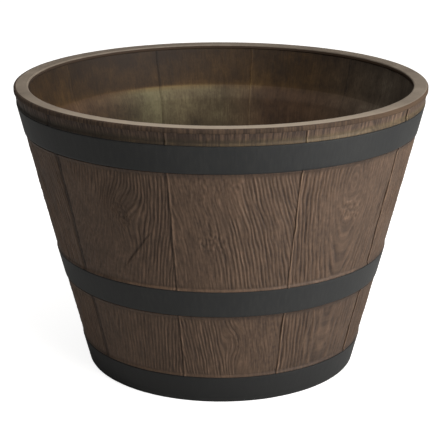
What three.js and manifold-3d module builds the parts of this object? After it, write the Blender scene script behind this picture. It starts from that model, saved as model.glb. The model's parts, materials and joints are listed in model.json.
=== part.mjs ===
// A barrel planter: ten tapered staves stand in a boot hoop and are drawn together by two more
// hoops, a floor sits in a groove cut round the inside of the staves, and one rim cap closes the
// stave tops. Four plugs in the floor pull up and out to let water drain.
//
// Millimetres, +Z up. The origin is on the ground, at the middle of the planter. Angles round the
// planter are counted from the front (-Y) towards +X.

import * as THREE from 'three';
import { mergeVertices } from 'three/addons/utils/BufferGeometryUtils.js';
import Module from 'manifold-3d';

// ---- The wall ----
const RIM_DIAMETER = 520; // over the rim cap
const BASE_DIAMETER = 343; // the wall's outer line, run down to the ground
const HEIGHT = 365; // ground to the top of the rim
const BELLY = 1.2; // how far the staves bow out at half height
const WALL_UPPER = 17; // stave thickness above the inside ledge
const WALL_LOWER = 21; // and below it
const LEDGE_DEPTH = 56; // the ledge's upper edge, below the rim
const LEDGE_DROP = 17; // height of the sloping ledge

// ---- The staves ----
// Stave widths along the rim, in order round the planter. They share the whole turn between them.
const STAVE_WIDTHS = [168, 162.5, 166.5, 168.5, 168.5, 167.5, 148, 168, 158.5, 158.5];
const FIRST_JOINT = -51.2; // degrees, the left edge of the first stave
const JOINT_GAP = 0.3; // between stave edges, at the base
const GROOVE_WIDTH = 5; // V-groove along each outside joint, both flanks
const GROOVE_DEPTH = 1.8;
const BEAD_HEIGHT = 0.9; // ridge along each inside joint
const STAVE_STEPS = 5; // facets across a stave, between its grooves

// ---- The rim cap ----
const RIM_WIDTH = 18.5; // across its top, outside to inside
const RIM_THICKNESS = 6;
const RIM_OVERHANG = 1.3; // past the wall, outside
const RIM_OUTER_ROUND = 3;
const RIM_INNER_ROUND = 2;
const TONGUE_WIDTH = 5; // rib under the cap, in a groove round the stave tops
const TONGUE_DEPTH = 4;

// ---- The hoops ----
const HOOP_THICKNESS = 2;
const HOOP_PROUD = 1.5; // hoop face past the wall's line
const HOOP_EDGE = 0.5; // chamfer along a hoop's outer edges
const SHOULDER_PROUD = 1.3; // moulded shoulder beside a hoop, past the wall's line
const SHOULDER_FLAT = 1; // top of the shoulder
const SHOULDER_SLOPE = 3; // its slope back to the wall
const UPPER_HOOP_WIDTH = 34;
const UPPER_HOOP_DROP = 21; // its top edge, below the rim
const MIDDLE_HOOP_WIDTH = 34;
const MIDDLE_HOOP_HEIGHT = 140; // its middle, above the ground
const BASE_HOOP_HEIGHT = 36;
const BASE_CORNER = 4; // rounding at the ground
const FOOT_WIDTH = 18; // the base hoop's flange, turned in under the staves
const FOOT_THICKNESS = 2.5;

// ---- The floor and its drains ----
const FLOOR_THICKNESS = 12;
const FLOOR_HEIGHT = 14; // its underside, above the ground
const CROZE_DEPTH = 6; // groove in the staves that holds the floor
const FLOOR_FACETS = 72;
const DRAIN_COUNT = 4;
const DRAIN_DIAMETER = 16;
const DRAIN_CIRCLE = 200; // diameter of the circle that the drain holes are on
const DRAIN_FACETS = 24;
const PLUG_FLANGE_DIAMETER = 26;
const PLUG_FLANGE_THICKNESS = 2.5;
const PLUG_GRIP_DIAMETER = 11;
const PLUG_GRIP_HEIGHT = 7; // above the flange
const PLUG_TIP = 1.5; // chamfer at the stem's end

// ---- Clearances ----
const HOOP_FIT = 0.2; // a hoop in its seat, and the cap's tongue in its groove
const FLOOR_FIT = 0.5; // the floor's edge in the croze
const PLUG_FIT = 0.3; // a plug's stem in its hole, all round

const RIM_RADIUS = RIM_DIAMETER / 2;
const BASE_RADIUS = BASE_DIAMETER / 2;
const STAVE_FOOT = FOOT_THICKNESS;
const STAVE_TOP = HEIGHT - RIM_THICKNESS;
const WALL_TOP_RADIUS = RIM_RADIUS - RIM_OVERHANG;
const LEDGE_TOP = HEIGHT - LEDGE_DEPTH;
const LEDGE_BOTTOM = LEDGE_TOP - LEDGE_DROP;
const FLOOR_TOP = FLOOR_HEIGHT + FLOOR_THICKNESS;
const UPPER_HOOP_TOP = HEIGHT - UPPER_HOOP_DROP;
const HOOP_SEAT = HOOP_PROUD - HOOP_THICKNESS - HOOP_FIT; // seat face, past the wall's line

const HOOPS = {
  base: { low: 0, high: BASE_HOOP_HEIGHT },
  middle: {
    low: MIDDLE_HOOP_HEIGHT - MIDDLE_HOOP_WIDTH / 2,
    high: MIDDLE_HOOP_HEIGHT + MIDDLE_HOOP_WIDTH / 2,
  },
  upper: { low: UPPER_HOOP_TOP - UPPER_HOOP_WIDTH, high: UPPER_HOOP_TOP },
};

const COLOURS = { stave: 0x5e4d41, rim: 0x8f7f6d, hoop: 0x3a3936, floor: 0x4b3f34, plug: 0x222222 };

// The wall's outer line: a straight taper with a slight belly.
function wallRadius(z) {
  const share = z / STAVE_TOP;
  const taper = BASE_RADIUS + (WALL_TOP_RADIUS - BASE_RADIUS) * share;
  return taper + 4 * BELLY * share * (1 - share);
}

// The staves' inner face at a height.
function innerRadius(z) {
  const share = THREE.MathUtils.clamp((LEDGE_TOP - z) / LEDGE_DROP, 0, 1);
  return wallRadius(z) - THREE.MathUtils.lerp(WALL_UPPER, WALL_LOWER, share);
}

// ---- Stave edges round the planter ----

function staveEdges() {
  const turn = STAVE_WIDTHS.reduce((sum, width) => sum + width, 0);
  const halfGap = JOINT_GAP / BASE_RADIUS / 2;
  let joint = THREE.MathUtils.degToRad(FIRST_JOINT);
  return STAVE_WIDTHS.map((width) => {
    const start = joint;
    joint += (width / turn) * 2 * Math.PI;
    return [start + halfGap, joint - halfGap];
  });
}

// The angles at which a stave's section is set out: both edges, the grooves' inner lines, and
// even steps between those.
function staveAngles([start, end]) {
  const groove = GROOVE_WIDTH / 2 / RIM_RADIUS;
  const angles = [start];
  for (let step = 0; step <= STAVE_STEPS; step += 1) {
    angles.push(THREE.MathUtils.lerp(start + groove, end - groove, step / STAVE_STEPS));
  }
  angles.push(end);
  return angles;
}

const EDGES = staveEdges();
const ALL_ANGLES = EDGES.flatMap(staveAngles);

// ---- Sweeping an outline round the Z axis ----

function pointOnTurn(angle, { x: radius, y: height }) {
  return [radius * Math.sin(angle), -radius * Math.cos(angle), height];
}

// One outline of (radius, height) points for each angle, all with as many points, counter-clockwise.
// A full turn joins the last outline to the first; a part turn is closed by its two ends.
function sweepOutlines(angles, outlines, fullTurn) {
  const count = outlines[0].length;
  const positions = angles.flatMap((angle, i) => outlines[i].flatMap((p) => pointOnTurn(angle, p)));
  const triangles = [];
  const spans = fullTurn ? angles.length : angles.length - 1;
  for (let i = 0; i < spans; i += 1) {
    const here = i * count;
    const next = ((i + 1) % angles.length) * count;
    for (let j = 0; j < count; j += 1) {
      const k = (j + 1) % count;
      triangles.push(here + j, next + j, next + k);
      triangles.push(here + j, next + k, here + k);
    }
  }
  if (!fullTurn) {
    const last = (angles.length - 1) * count;
    for (const [a, b, c] of endTriangles(outlines[0])) triangles.push(a, b, c);
    for (const [a, b, c] of endTriangles(outlines.at(-1))) {
      triangles.push(last + a, last + c, last + b);
    }
  }
  const geometry = new THREE.BufferGeometry();
  geometry.setAttribute('position', new THREE.Float32BufferAttribute(positions, 3));
  geometry.setIndex(triangles);
  geometry.computeVertexNormals();
  return geometry;
}

function endTriangles(outline) {
  return THREE.ShapeUtils.triangulateShape(outline, []).map(([a, b, c]) => {
    const clockwise = THREE.ShapeUtils.isClockWise([outline[a], outline[b], outline[c]]);
    return clockwise ? [a, c, b] : [a, b, c];
  });
}

function ringOf(outline) {
  return sweepOutlines(ALL_ANGLES, ALL_ANGLES.map(() => outline), true);
}

const at = (radius, height) => new THREE.Vector2(radius, height);

// ---- Staves ----

// Going up the outside past one hoop: slope, shoulder, seat, shoulder, slope. Each entry is a
// height and a distance past the wall's line.
function hoopSeat({ low, high }) {
  const below = [
    [low - HOOP_FIT - SHOULDER_FLAT - SHOULDER_SLOPE, 0],
    [low - HOOP_FIT - SHOULDER_FLAT, SHOULDER_PROUD],
    [low - HOOP_FIT, SHOULDER_PROUD],
    [low - HOOP_FIT, HOOP_SEAT],
  ];
  const above = [
    [high + HOOP_FIT, HOOP_SEAT],
    [high + HOOP_FIT, SHOULDER_PROUD],
    [high + HOOP_FIT + SHOULDER_FLAT, SHOULDER_PROUD],
    [high + HOOP_FIT + SHOULDER_FLAT + SHOULDER_SLOPE, 0],
  ];
  return { below, above };
}

function tongueRadius() {
  return (wallRadius(STAVE_TOP) + innerRadius(STAVE_TOP)) / 2;
}

// A stave's section. At its two edges the outside is cut back for the V-groove, and the inside
// stands proud as the ridge.
function staveOutline(isEdge) {
  const cutBack = isEdge ? GROOVE_DEPTH : 0;
  const bead = isEdge ? BEAD_HEIGHT : 0;
  const base = hoopSeat(HOOPS.base);
  const middle = hoopSeat(HOOPS.middle);
  const upper = hoopSeat(HOOPS.upper);
  const outside = [
    [STAVE_FOOT, HOOP_SEAT],
    ...base.above,
    [(HOOPS.base.high + HOOPS.middle.low) / 2, 0],
    ...middle.below,
    ...middle.above,
    [(HOOPS.middle.high + HOOPS.upper.low) / 2, 0],
    ...upper.below,
    ...upper.above,
    [STAVE_TOP, 0],
  ].map(([z, proud]) => at(wallRadius(z) + proud - cutBack, z));
  const groove = TONGUE_WIDTH / 2 + HOOP_FIT;
  const grooveFloor = STAVE_TOP - TONGUE_DEPTH - HOOP_FIT;
  const top = [
    at(tongueRadius() + groove, STAVE_TOP),
    at(tongueRadius() + groove, grooveFloor),
    at(tongueRadius() - groove, grooveFloor),
    at(tongueRadius() - groove, STAVE_TOP),
  ];
  const inside = (z) => at(innerRadius(z) - bead, z);
  const crozeTop = FLOOR_TOP + HOOP_FIT;
  const crozeRadius = innerRadius(FLOOR_HEIGHT) + CROZE_DEPTH;
  const croze = [at(crozeRadius, crozeTop), at(crozeRadius, FLOOR_HEIGHT)];
  const belowLedge = [inside(LEDGE_BOTTOM), inside(MIDDLE_HOOP_HEIGHT), inside(crozeTop)];
  return [
    ...outside,
    ...top,
    inside(STAVE_TOP),
    inside(LEDGE_TOP),
    ...belowLedge,
    ...croze,
    inside(FLOOR_HEIGHT),
    inside(STAVE_FOOT),
  ];
}

function stave(edges) {
  const angles = staveAngles(edges);
  const outlines = angles.map((_, i) => staveOutline(i === 0 || i === angles.length - 1));
  return sweepOutlines(angles, outlines, false);
}

// ---- Rim cap ----

function rimCap() {
  const inner = RIM_RADIUS - RIM_WIDTH;
  const tongueFoot = STAVE_TOP - TONGUE_DEPTH;
  const outline = new THREE.Path();
  outline.moveTo(tongueRadius() + TONGUE_WIDTH / 2, STAVE_TOP);
  outline.lineTo(RIM_RADIUS, STAVE_TOP);
  outline.absarc(RIM_RADIUS - RIM_OUTER_ROUND, HEIGHT - RIM_OUTER_ROUND, RIM_OUTER_ROUND, 0, Math.PI / 2);
  outline.absarc(inner + RIM_INNER_ROUND, HEIGHT - RIM_INNER_ROUND, RIM_INNER_ROUND, Math.PI / 2, Math.PI);
  outline.lineTo(inner, STAVE_TOP);
  outline.lineTo(tongueRadius() - TONGUE_WIDTH / 2, STAVE_TOP);
  outline.lineTo(tongueRadius() - TONGUE_WIDTH / 2, tongueFoot);
  outline.lineTo(tongueRadius() + TONGUE_WIDTH / 2, tongueFoot);
  return ringOf(outline.getPoints(2));
}

// ---- Hoops ----

// A flat band that follows the wall's slope, with its outer edges eased.
function bandHoop({ low, high }) {
  const face = (z) => wallRadius(z) + HOOP_PROUD;
  const seat = (z) => face(z) - HOOP_THICKNESS;
  return ringOf([
    at(seat(low), low),
    at(face(low) - HOOP_EDGE, low),
    at(face(low), low + HOOP_EDGE),
    at(face(high), high - HOOP_EDGE),
    at(face(high) - HOOP_EDGE, high),
    at(seat(high), high),
  ]);
}

// The base hoop turns in under the staves, which stand on its flange.
function baseHoop({ low, high }) {
  const face = (z) => wallRadius(z) + HOOP_PROUD;
  const seat = (z) => face(z) - HOOP_THICKNESS;
  const corner = face(BASE_CORNER) - BASE_CORNER;
  const outline = new THREE.Path();
  outline.moveTo(face(low) - FOOT_WIDTH, low);
  outline.lineTo(corner, low);
  outline.absarc(corner, low + BASE_CORNER, BASE_CORNER, -Math.PI / 2, 0);
  outline.lineTo(face(high), high - HOOP_EDGE);
  outline.lineTo(face(high) - HOOP_EDGE, high);
  outline.lineTo(seat(high), high);
  outline.lineTo(seat(FOOT_THICKNESS), FOOT_THICKNESS);
  outline.lineTo(face(low) - FOOT_WIDTH, FOOT_THICKNESS);
  return ringOf(outline.getPoints(2));
}

// ---- Floor and drain plugs ----

const wasm = await Module();
wasm.setup();

function toSolid(geometry) {
  const bare = geometry.clone();
  bare.deleteAttribute('normal');
  bare.deleteAttribute('uv');
  const merged = mergeVertices(bare, 1e-4);
  return new wasm.Manifold(
    new wasm.Mesh({
      numProp: 3,
      vertProperties: new Float32Array(merged.attributes.position.array),
      triVerts: new Uint32Array(merged.index.array),
    }),
  );
}

function toGeometry(solid) {
  const mesh = solid.getMesh();
  const geometry = new THREE.BufferGeometry();
  geometry.setAttribute('position', new THREE.BufferAttribute(mesh.vertProperties, 3));
  geometry.setIndex(new THREE.BufferAttribute(mesh.triVerts, 1));
  geometry.computeVertexNormals();
  return geometry;
}

// Three.js turns shapes round Y; these stand them up along Z.
function turned(outline, facets) {
  return new THREE.LatheGeometry(outline, facets).rotateX(Math.PI / 2);
}

function drainPlaces() {
  return Array.from({ length: DRAIN_COUNT }, (_, i) => {
    const angle = ((i + 0.5) / DRAIN_COUNT) * 2 * Math.PI;
    return new THREE.Vector3(Math.sin(angle), -Math.cos(angle), 0).multiplyScalar(DRAIN_CIRCLE / 2);
  });
}

function floor() {
  const edge = innerRadius(FLOOR_HEIGHT) + CROZE_DEPTH - FLOOR_FIT;
  const disc = turned(
    [at(0, 0), at(edge, 0), at(edge, FLOOR_THICKNESS), at(0, FLOOR_THICKNESS)],
    FLOOR_FACETS,
  ).translate(0, 0, FLOOR_HEIGHT);
  const holeLength = FLOOR_THICKNESS * 2;
  const radius = DRAIN_DIAMETER / 2;
  return toGeometry(
    drainPlaces().reduce((solid, place) => {
      const hole = new THREE.CylinderGeometry(radius, radius, holeLength, DRAIN_FACETS)
        .rotateX(Math.PI / 2)
        .translate(place.x, place.y, FLOOR_HEIGHT + FLOOR_THICKNESS / 2);
      return solid.subtract(toSolid(hole));
    }, toSolid(disc)),
  );
}

// A plug with its flange's underside at height 0: a stem as long as the floor is thick, a flange
// that rests on the floor, and a grip to pull it up by.
function drainPlug() {
  const stem = DRAIN_DIAMETER / 2 - PLUG_FIT;
  const flange = PLUG_FLANGE_DIAMETER / 2;
  const grip = PLUG_GRIP_DIAMETER / 2;
  const gripTop = PLUG_FLANGE_THICKNESS + PLUG_GRIP_HEIGHT;
  return turned(
    [
      at(0, -FLOOR_THICKNESS),
      at(stem - PLUG_TIP, -FLOOR_THICKNESS),
      at(stem, PLUG_TIP - FLOOR_THICKNESS),
      at(stem, 0),
      at(flange, 0),
      at(flange, PLUG_FLANGE_THICKNESS / 2),
      at(flange - PLUG_FLANGE_THICKNESS / 2, PLUG_FLANGE_THICKNESS),
      at(grip, PLUG_FLANGE_THICKNESS),
      at(grip, gripTop - grip / 3),
      at(grip / 2, gripTop),
      at(0, gripTop),
    ],
    DRAIN_FACETS,
  );
}

// ---- The planter ----

function addPiece(group, name, geometry, colour, roughness) {
  const material = new THREE.MeshStandardMaterial({ color: colour, roughness, metalness: 0 });
  const piece = new THREE.Mesh(geometry, material);
  piece.name = name;
  group.add(piece);
  return piece;
}

const planter = new THREE.Group();

EDGES.forEach((edges, i) => {
  const name = `stave_${String(i + 1).padStart(2, '0')}`;
  addPiece(planter, name, stave(edges), COLOURS.stave, 0.75);
});
addPiece(planter, 'rim_cap', rimCap(), COLOURS.rim, 0.7);
addPiece(planter, 'upper_hoop', bandHoop(HOOPS.upper), COLOURS.hoop, 0.55);
addPiece(planter, 'middle_hoop', bandHoop(HOOPS.middle), COLOURS.hoop, 0.55);
addPiece(planter, 'base_hoop', baseHoop(HOOPS.base), COLOURS.hoop, 0.55);
addPiece(planter, 'floor', floor(), COLOURS.floor, 0.8);
drainPlaces().forEach((place, i) => {
  const plug = addPiece(planter, `drain_plug_${i + 1}`, drainPlug(), COLOURS.plug, 0.6);
  plug.position.set(place.x, place.y, FLOOR_TOP);
});

export default planter;
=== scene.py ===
# %% [markdown]
# # A wood-effect barrel planter
# The planter is a half barrel: ten staves, a smooth rim, three dark hoops, a floor and its drain
# plugs. Its solids come from the frame, at their real size and place. This lesson gives each one
# its visible surface: moulded grain as real relief, hand-rubbed colour, and satin paint.
# Lengths are in metres, and the planter stands on the ground with its front towards -Y.

# %% Load the frame
import json
import math

import bpy
import numpy as np
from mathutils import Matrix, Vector
from mathutils.bvhtree import BVHTree


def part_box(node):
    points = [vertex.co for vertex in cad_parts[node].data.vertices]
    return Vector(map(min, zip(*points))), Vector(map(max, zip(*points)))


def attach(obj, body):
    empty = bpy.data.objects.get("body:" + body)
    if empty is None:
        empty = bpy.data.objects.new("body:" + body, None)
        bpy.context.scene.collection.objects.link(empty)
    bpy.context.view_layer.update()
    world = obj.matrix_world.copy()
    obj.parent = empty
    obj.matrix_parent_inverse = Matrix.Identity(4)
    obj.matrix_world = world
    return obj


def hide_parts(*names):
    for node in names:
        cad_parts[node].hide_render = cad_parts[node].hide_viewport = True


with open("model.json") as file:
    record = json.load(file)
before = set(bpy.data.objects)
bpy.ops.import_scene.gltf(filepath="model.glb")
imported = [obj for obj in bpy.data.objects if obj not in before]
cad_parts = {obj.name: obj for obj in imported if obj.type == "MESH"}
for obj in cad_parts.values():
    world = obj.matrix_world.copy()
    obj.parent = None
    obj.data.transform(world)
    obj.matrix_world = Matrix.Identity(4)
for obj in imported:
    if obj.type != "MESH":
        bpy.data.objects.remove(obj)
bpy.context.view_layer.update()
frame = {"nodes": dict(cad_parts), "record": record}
MM = 0.001
NODES = frame["nodes"]
STAVE_NAMES = sorted(name for name in NODES if name.startswith("stave_"))
PLUG_BODIES = {nodes[0]: body for body, nodes in frame["record"]["behaviour"]["bodies"].items()
               if nodes[0].startswith("drain_plug_")}


def turn_angle(point):
    """Angle round the planter, counted from the front towards +X."""
    return math.atan2(point.x, -point.y)


def on_turn(radius, angle, height):
    return Vector((radius * math.sin(angle), -radius * math.cos(angle), height))


print("solids:", len(NODES), "staves:", len(STAVE_NAMES), "plugs:", len(PLUG_BODIES))


# %% [markdown]
# ## Camera
# The photograph was taken with a long lens, a little above the rim. The camera's distance, height
# and lens were found by matching the rim's ellipse, the hoops and the outline of the planter, so
# they are written here as real sizes and angles. It is made first, because everything after it is
# judged through it.

# %% Set up the camera
FRAME_PIXELS = 445
LOOK_AT = Vector((0, 0, 0.1762))
CAMERA_DISTANCE = 1.916
CAMERA_ELEVATION = math.radians(17.49)
FOCAL_PIXELS = 1474.9  # focal length counted in pixels of the picture
AXIS_COLUMN = 220.93  # the pixel column of the planter's axis in the picture

camera_data = bpy.data.cameras.new("camera")
camera = bpy.data.objects.new("camera", camera_data)
bpy.context.scene.collection.objects.link(camera)
camera_data.sensor_width = 36
camera_data.lens = FOCAL_PIXELS / FRAME_PIXELS * camera_data.sensor_width
camera_data.shift_x = (FRAME_PIXELS / 2 - AXIS_COLUMN) / FRAME_PIXELS
towards = Vector((0, math.cos(CAMERA_ELEVATION), -math.sin(CAMERA_ELEVATION)))
camera.location = LOOK_AT - towards * CAMERA_DISTANCE
camera.rotation_euler = towards.to_track_quat("-Z", "Y").to_euler()
bpy.context.scene.camera = camera
print("lens:", round(camera_data.lens, 1), "mm, camera at", tuple(round(c, 3) for c in camera.location))


# %% [markdown]
# ## One helper for nodes
# Shader trees and geometry trees are built the same way: add a node, set its properties, then give
# each input a number or a link. One small helper does all three, so a tree reads as a list. It also
# takes a sum or a product of many values, which Blender needs a chain of nodes for.

# %% The node helper
NOISE, MAP, RAMP = "ShaderNodeTexNoise", "ShaderNodeMapRange", "ShaderNodeValToRGB"
COMBINE, SEPARATE = "ShaderNodeCombineXYZ", "ShaderNodeSeparateXYZ"
COORDINATES, ATTRIBUTE = "ShaderNodeTexCoord", "ShaderNodeAttribute"
PRINCIPLED, BUMP = "ShaderNodeBsdfPrincipled", "ShaderNodeBump"
EASE = (MAP, {"interpolation_type": "SMOOTHSTEP"})  # a map range that eases at both ends
MIX, MIX_COLOUR = ("ShaderNodeMix", {"data_type": "FLOAT"}), ("ShaderNodeMix", {"data_type": "RGBA"})
TINT = ("ShaderNodeMix", {"data_type": "RGBA", "blend_type": "MULTIPLY"})


def linear(hex_colour):
    """An sRGB hex colour as the linear colour that a shader wants."""
    channels = [int(hex_colour[i:i + 2], 16) / 255 for i in (1, 3, 5)]
    return [c / 12.92 if c <= 0.04045 else ((c + 0.055) / 1.055) ** 2.4 for c in channels] + [1.0]


def add(tree, kind, *inputs, stops=(), **settings):
    """Add one node.

    kind is a node's type, a pair of that and its settings, or a maths operation, such as MULTIPLY or
    VECTOR_MULTIPLY. inputs fill its sockets in order, or by name from a dictionary: each is a value, a
    socket, or a node whose first output is used. A map range's order is the value, from low, from
    high, to low, to high. stops are a colour ramp's (position, colour) pairs. Maths of more than two
    values becomes a chain: a sum, a product, a largest value, a difference.
    """
    if kind in ("ADD", "MULTIPLY", "MAXIMUM", "SUBTRACT") and len(inputs) > 2:
        inputs = (add(tree, kind, *inputs[:-1]), inputs[-1])
    if isinstance(kind, tuple):
        kind, settings = kind
    elif kind.isupper():
        settings = {"operation": kind.removeprefix("VECTOR_")}
        kind = "ShaderNodeVectorMath" if kind.startswith("VECTOR_") else "ShaderNodeMath"
    node = tree.nodes.new(kind)
    for name, value in settings.items():
        setattr(node, name, value)
    sockets = [socket for socket in node.inputs if socket.enabled]
    pairs = zip(sockets, inputs)
    if inputs and isinstance(inputs[0], dict):
        named = {socket.name: socket for socket in reversed(sockets)}
        pairs = [(named[name], value) for name, value in inputs[0].items()]
    for socket, value in pairs:
        if isinstance(value, bpy.types.Node):
            value = next(output for output in value.outputs if output.enabled)
        if isinstance(value, bpy.types.NodeSocket):
            tree.links.new(value, socket)
        else:
            socket.default_value = value
    for i, (position, hex_colour) in enumerate(stops):
        elements = node.color_ramp.elements
        element = elements[i] if i < 2 else elements.new(position)
        element.position = position
        element.color = linear(hex_colour)
    return node


def swing(tree, noise, size):
    """Noise turned into a number that swings half of size either way."""
    return add(tree, "MULTIPLY_ADD", noise, size, -size / 2)


def new_material(name):
    """An empty material and its tree."""
    material = bpy.data.materials.new(name)
    material.use_nodes = True
    material.node_tree.nodes.clear()
    return material, material.node_tree


def surface(tree, colour, roughness, ior, relief, bump, depth):
    """End a material's tree: its colour, roughness and IOR, and a fine bump from relief."""
    bumped = add(tree, BUMP, {"Strength": bump, "Distance": depth, "Height": relief})
    bsdf = add(tree, PRINCIPLED,
               {"Base Color": colour, "Roughness": roughness, "IOR": ior, "Normal": bumped})
    add(tree, "ShaderNodeOutputMaterial", {"Surface": bsdf})


print("a colour made linear:", [round(channel, 3) for channel in linear("#4c392a")])


# %% [markdown]
# ## Light and floor
# The photograph has one large soft light well to the right, white air above, and little from the
# left, where the planter is almost three times as dark. One softbox stands at the right and a weaker
# one above. The world's own light grows upwards and towards the right, and a pale floor stands in
# for the white sweep.
# The photograph's sweep is overexposed, so the picture sees the floor brighter than the planter does.
# Blender's Standard view keeps the colours as they are mixed.

# %% Lights, world and floor
def area_light(name, place, size, watts):
    """A square softbox that faces the planter's middle."""
    data = bpy.data.lights.new(name, "AREA")
    data.size = size
    data.energy = watts
    light = bpy.data.objects.new(name, data)
    light.location = place
    light.rotation_euler = (LOOK_AT - Vector(place)).to_track_quat("-Z", "Y").to_euler()
    bpy.context.scene.collection.objects.link(light)


KEY_TURN = math.radians(60)  # the softbox at the right stands this far round from the front
area_light("softbox_right", on_turn(2.4, KEY_TURN, 0.6), 0.9, 52)
area_light("softbox_above", (0.4, -0.8, 1.8), 1.0, 21)

bpy.context.scene.view_settings.view_transform = "Standard"
world = bpy.data.worlds.new("studio")
bpy.context.scene.world = world
world.use_nodes = True
tree = world.node_tree
tree.nodes.clear()
direction = add(tree, COORDINATES).outputs["Generated"]
upright = add(tree, SEPARATE, direction).outputs["Z"]
towards_key = add(tree, "VECTOR_DOT_PRODUCT", direction, on_turn(1, KEY_TURN, 0)).outputs["Value"]
from_above = add(tree, MAP, upright, 0.3, 1.0, 0.0, 0.6)
from_side = add(tree, MAP, towards_key, -0.4, 1.0, 0.0, 0.2)
keyward = add(tree, MAP, towards_key, -0.8, 0.4, 0.45)
strength = add(tree, "MULTIPLY_ADD", from_above, keyward, from_side)
white_air = add(tree, "ShaderNodeBackground", {"Color": linear("#ffffff"), "Strength": strength})
add(tree, "ShaderNodeOutputWorld", {"Surface": white_air})


# %% The floor
HALF_FLOOR = 30  # far enough for its edge to stay out of the picture
FLOOR_GLOW = 0.85  # seen by the camera alone
floor_mesh = bpy.data.meshes.new("studio_floor")
floor_corners = [(x * HALF_FLOOR, y * HALF_FLOOR, 0) for x, y in ((-1, -1), (1, -1), (1, 1), (-1, 1))]
floor_mesh.from_pydata(floor_corners, [], [(0, 1, 2, 3)])
studio_floor = bpy.data.objects.new("studio_floor", floor_mesh)
bpy.context.scene.collection.objects.link(studio_floor)
paper, tree = new_material("white_paper_sweep")
seen_by_camera = add(tree, "ShaderNodeLightPath").outputs["Is Camera Ray"]
overexposed = add(tree, "MULTIPLY", seen_by_camera, FLOOR_GLOW)
bsdf = add(tree, PRINCIPLED,
           {"Base Color": linear("#e3e1dd"), "Roughness": 0.9, "Emission Color": linear("#ffffff"),
            "Emission Strength": overexposed})
add(tree, "ShaderNodeOutputMaterial", {"Surface": bsdf})
floor_mesh.materials.append(paper)
print("floor:", 2 * HALF_FLOOR, "m across")


# %% [markdown]
# ## Reading the wall from a solid stave
# The frame already holds the wall's true section: taper, belly, hoop shoulders, inside ledge and
# the groove for the floor. Rather than type those sizes again, we shoot rays at one solid stave at
# every height and keep where they land. The dressed stave then always fits its solid.

# %% Measure the stave spans and the wall section
def stave_span(name):
    """The first and last angle of a solid stave, and one of its section angles near the middle."""
    angles = [turn_angle(v.co) for v in NODES[name].data.vertices]
    middle = math.atan2(sum(map(math.sin, angles)), sum(map(math.cos, angles)))
    offsets = [(a - middle + math.pi) % math.tau - math.pi for a in angles]
    return middle + min(offsets), middle + max(offsets), middle + min(offsets, key=abs)


def tree_of(name):
    """A solid as a tree that rays can be shot at."""
    mesh = NODES[name].data
    return BVHTree.FromPolygons([v.co for v in mesh.vertices], [p.vertices for p in mesh.polygons])


SPANS = {name: stave_span(name)[:2] for name in STAVE_NAMES}
STAVE_FOOT, STAVE_TOP = (corner.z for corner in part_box(STAVE_NAMES[0]))
SAMPLE_STEP = 0.1 * MM
ray_angle = stave_span(STAVE_NAMES[0])[2] + 1e-5  # just beside the solid's own edges
stave_solid = tree_of(STAVE_NAMES[0])


def ray_radius(height, start, direction):
    """Radius at which a level ray in the plane of ray_angle meets the solid stave."""
    hit = stave_solid.ray_cast(on_turn(start, ray_angle, height), on_turn(direction, ray_angle, 0))[0]
    return hit.xy.length


SAMPLE_HEIGHTS = np.arange(STAVE_FOOT + SAMPLE_STEP, STAVE_TOP, SAMPLE_STEP)
OUTER_SAMPLES = [ray_radius(h, 1, -1) for h in SAMPLE_HEIGHTS]
INNER_SAMPLES = [ray_radius(h, 0, 1) for h in SAMPLE_HEIGHTS]
slope = np.gradient(INNER_SAMPLES, SAMPLE_STEP)
LEDGE_SLOPE = 0.36  # the inside wall leans this much on the ledge and less above it
LEDGE_TOP = float(SAMPLE_HEIGHTS[np.flatnonzero(slope > LEDGE_SLOPE)[-1]])
WALL_MIDDLE_RADIUS = float(np.mean(OUTER_SAMPLES))
HOOP_NAMES = ("base_hoop", "middle_hoop", "upper_hoop")
HOOP_SPANS = {name: tuple(corner.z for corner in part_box(name)) for name in HOOP_NAMES}
UPPER_LOW, UPPER_HIGH = HOOP_SPANS["upper_hoop"]
print("inside ledge at", round(LEDGE_TOP, 4))
print("wall radius, foot and top:", round(OUTER_SAMPLES[0], 4), round(OUTER_SAMPLES[-1], 4))
print("upper hoop from and to:", round(UPPER_LOW, 4), round(UPPER_HIGH, 4))


# %% [markdown]
# ## Closed meshes from rings of points
# A stave and a hoop are both lofts: rings of points joined by quads. A stave's rings are its level
# sections, closed off at both ends. A hoop's rings are copies of its cross-section round the turn,
# and the last joins the first. One function makes both, and turns the faces outwards by the sign
# of the volume they enclose.

# %% The loft
def add_attribute(mesh, name, kind, values):
    attribute = mesh.attributes.new(name, kind, "POINT")
    slot = "vector" if kind == "FLOAT_VECTOR" else "value"
    attribute.data.foreach_set(slot, np.asarray(values, np.float32).ravel())


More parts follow.
